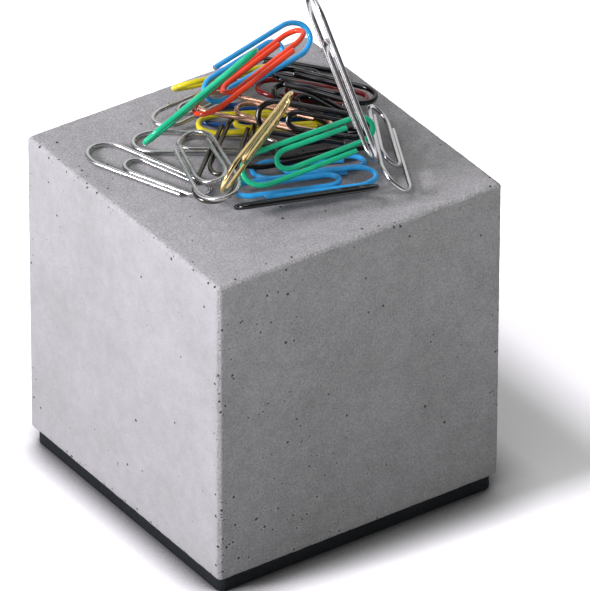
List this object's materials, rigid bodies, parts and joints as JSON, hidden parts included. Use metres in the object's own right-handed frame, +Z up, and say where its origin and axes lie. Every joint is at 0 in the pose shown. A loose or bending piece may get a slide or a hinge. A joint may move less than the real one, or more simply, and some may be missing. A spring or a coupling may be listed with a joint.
{
  "type": "magnetic paper clip holder",
  "caption": "Square cast-concrete block on a black foam pad, with a magnet under its top face that holds a loose heap of bent-wire paper clips.",
  "frame": {"origin": "middle of the pad's underside, where the holder stands", "axes": "+Z up; -Y towards the shaded front face and -X towards the bright front face"},
  "size_m": [0.061, 0.061, 0.0982],
  "materials": {
    "concrete": "cast grey concrete, matte, fine sand grain and pinholes",
    "pad_foam": "matte black foam rubber",
    "magnet_plating": "bright plating",
    "nickel_wire": "bright nickel-plated steel wire",
    "brass_wire": "bright brass-plated wire",
    "copper_wire": "bright copper-plated steel wire",
    "bronze_wire": "dark bronze-plated steel wire",
    "coating_blue": "glossy plastic coating on steel wire",
    "coating_green": "glossy plastic coating on steel wire",
    "coating_red": "glossy plastic coating on steel wire",
    "coating_yellow": "glossy plastic coating on steel wire",
    "coating_black": "glossy plastic coating on steel wire"
  },
  "bodies": {
    "holder": {"concrete_block": "concrete", "magnet": "magnet_plating", "base_pad": "pad_foam"},
    "clip_silver_left": {"clip_silver_left": "nickel_wire"},
    "clip_silver_middle": {"clip_silver_middle": "nickel_wire"},
    "clip_blue_under": {"clip_blue_under": "coating_blue"},
    "clip_blue_front": {"clip_blue_front": "coating_blue"},
    "clip_blue_low": {"clip_blue_low": "coating_blue"},
    "clip_black_back": {"clip_black_back": "coating_black"},
    "clip_red_low": {"clip_red_low": "coating_red"},
    "clip_silver_back": {"clip_silver_back": "nickel_wire"},
    "clip_yellow_back": {"clip_yellow_back": "coating_yellow"},
    "clip_black_low": {"clip_black_low": "coating_black"},
    "clip_silver_right": {"clip_silver_right": "nickel_wire"},
    "clip_yellow_middle": {"clip_yellow_middle": "coating_yellow"},
    "clip_bronze": {"clip_bronze": "bronze_wire"},
    "clip_black_middle": {"clip_black_middle": "coating_black"},
    "clip_black_right": {"clip_black_right": "coating_black"},
    "clip_copper": {"clip_copper": "copper_wire"},
    "clip_black_loop": {"clip_black_loop": "coating_black"},
    "clip_silver_wide": {"clip_silver_wide": "nickel_wire"},
    "clip_black_front": {"clip_black_front": "coating_black"},
    "clip_green_front": {"clip_green_front": "coating_green"},
    "clip_brass": {"clip_brass": "brass_wire"},
    "clip_blue_top": {"clip_blue_top": "coating_blue"},
    "clip_red_top": {"clip_red_top": "coating_red"},
    "clip_green_lean": {"clip_green_lean": "coating_green"},
    "clip_silver_tall": {"clip_silver_tall": "nickel_wire"}
  },
  "joints": [
    {"name": "lift_silver_left", "type": "slide", "parent": "holder", "child": "clip_silver_left", "axis": [0, 0, 1], "range_m": [0, 0.006]},
    {"name": "lift_silver_middle", "type": "slide", "parent": "clip_silver_left", "child": "clip_silver_middle", "axis": [0, 0, 1], "range_m": [0, 0.006]},
    {"name": "lift_blue_under", "type": "slide", "parent": "clip_silver_middle", "child": "clip_blue_under", "axis": [0, 0, 1], "range_m": [0, 0.006]},
    {"name": "lift_blue_front", "type": "slide", "parent": "clip_blue_under", "child": "clip_blue_front", "axis": [0, 0, 1], "range_m": [0, 0.006]},
    {"name": "lift_blue_low", "type": "slide", "parent": "clip_blue_front", "child": "clip_blue_low", "axis": [0, 0, 1], "range_m": [0, 0.006]},
    {"name": "lift_black_back", "type": "slide", "parent": "clip_blue_low", "child": "clip_black_back", "axis": [0, 0, 1], "range_m": [0, 0.006]},
    {"name": "lift_red_low", "type": "slide", "parent": "clip_black_back", "child": "clip_red_low", "axis": [0, 0, 1], "range_m": [0, 0.006]},
    {"name": "lift_silver_back", "type": "slide", "parent": "clip_red_low", "child": "clip_silver_back", "axis": [0, 0, 1], "range_m": [0, 0.006]},
    {"name": "lift_yellow_back", "type": "slide", "parent": "clip_silver_back", "child": "clip_yellow_back", "axis": [0, 0, 1], "range_m": [0, 0.006]},
    {"name": "lift_black_low", "type": "slide", "parent": "clip_yellow_back", "child": "clip_black_low", "axis": [0, 0, 1], "range_m": [0, 0.006]},
    {"name": "lift_silver_right", "type": "slide", "parent": "clip_black_low", "child": "clip_silver_right", "axis": [0, 0, 1], "range_m": [0, 0.006]},
    {"name": "lift_yellow_middle", "type": "slide", "parent": "clip_silver_right", "child": "clip_yellow_middle", "axis": [0, 0, 1], "range_m": [0, 0.006]},
    {"name": "lift_bronze", "type": "slide", "parent": "clip_yellow_middle", "child": "clip_bronze", "axis": [0, 0, 1], "range_m": [0, 0.006]},
    {"name": "lift_black_middle", "type": "slide", "parent": "clip_bronze", "child": "clip_black_middle", "axis": [0, 0, 1], "range_m": [0, 0.006]},
    {"name": "lift_black_right", "type": "slide", "parent": "clip_black_middle", "child": "clip_black_right", "axis": [0, 0, 1], "range_m": [0, 0.006]},
    {"name": "lift_copper", "type": "slide", "parent": "clip_black_right", "child": "clip_copper", "axis": [0, 0, 1], "range_m": [0, 0.006]},
    {"name": "lift_black_loop", "type": "slide", "parent": "clip_copper", "child": "clip_black_loop", "axis": [0, 0, 1], "range_m": [0, 0.006]},
    {"name": "lift_silver_wide", "type": "slide", "parent": "clip_black_loop", "child": "clip_silver_wide", "axis": [0, 0, 1], "range_m": [0, 0.006]},
    {"name": "lift_black_front", "type": "slide", "parent": "clip_silver_wide", "child": "clip_black_front", "axis": [0, 0, 1], "range_m": [0, 0.006]},
    {"name": "lift_green_front", "type": "slide", "parent": "clip_black_front", "child": "clip_green_front", "axis": [0, 0, 1], "range_m": [0, 0.006]},
    {"name": "lift_brass", "type": "slide", "parent": "clip_green_front", "child": "clip_brass", "axis": [0, 0, 1], "range_m": [0, 0.006]},
    {"name": "lift_blue_top", "type": "slide", "parent": "clip_silver_wide", "child": "clip_blue_top", "axis": [0, 0, 1], "range_m": [0, 0.006]},
    {"name": "lift_red_top", "type": "slide", "parent": "clip_blue_top", "child": "clip_red_top", "axis": [0, 0, 1], "range_m": [0, 0.006]},
    {"name": "lift_green_lean", "type": "slide", "parent": "clip_red_top", "child": "clip_green_lean", "axis": [0, 0, 1], "range_m": [0, 0.006]},
    {"name": "lift_silver_tall", "type": "slide", "parent": "clip_green_front", "child": "clip_silver_tall", "axis": [0, 0, 1], "range_m": [0, 0.006]}
  ]
}
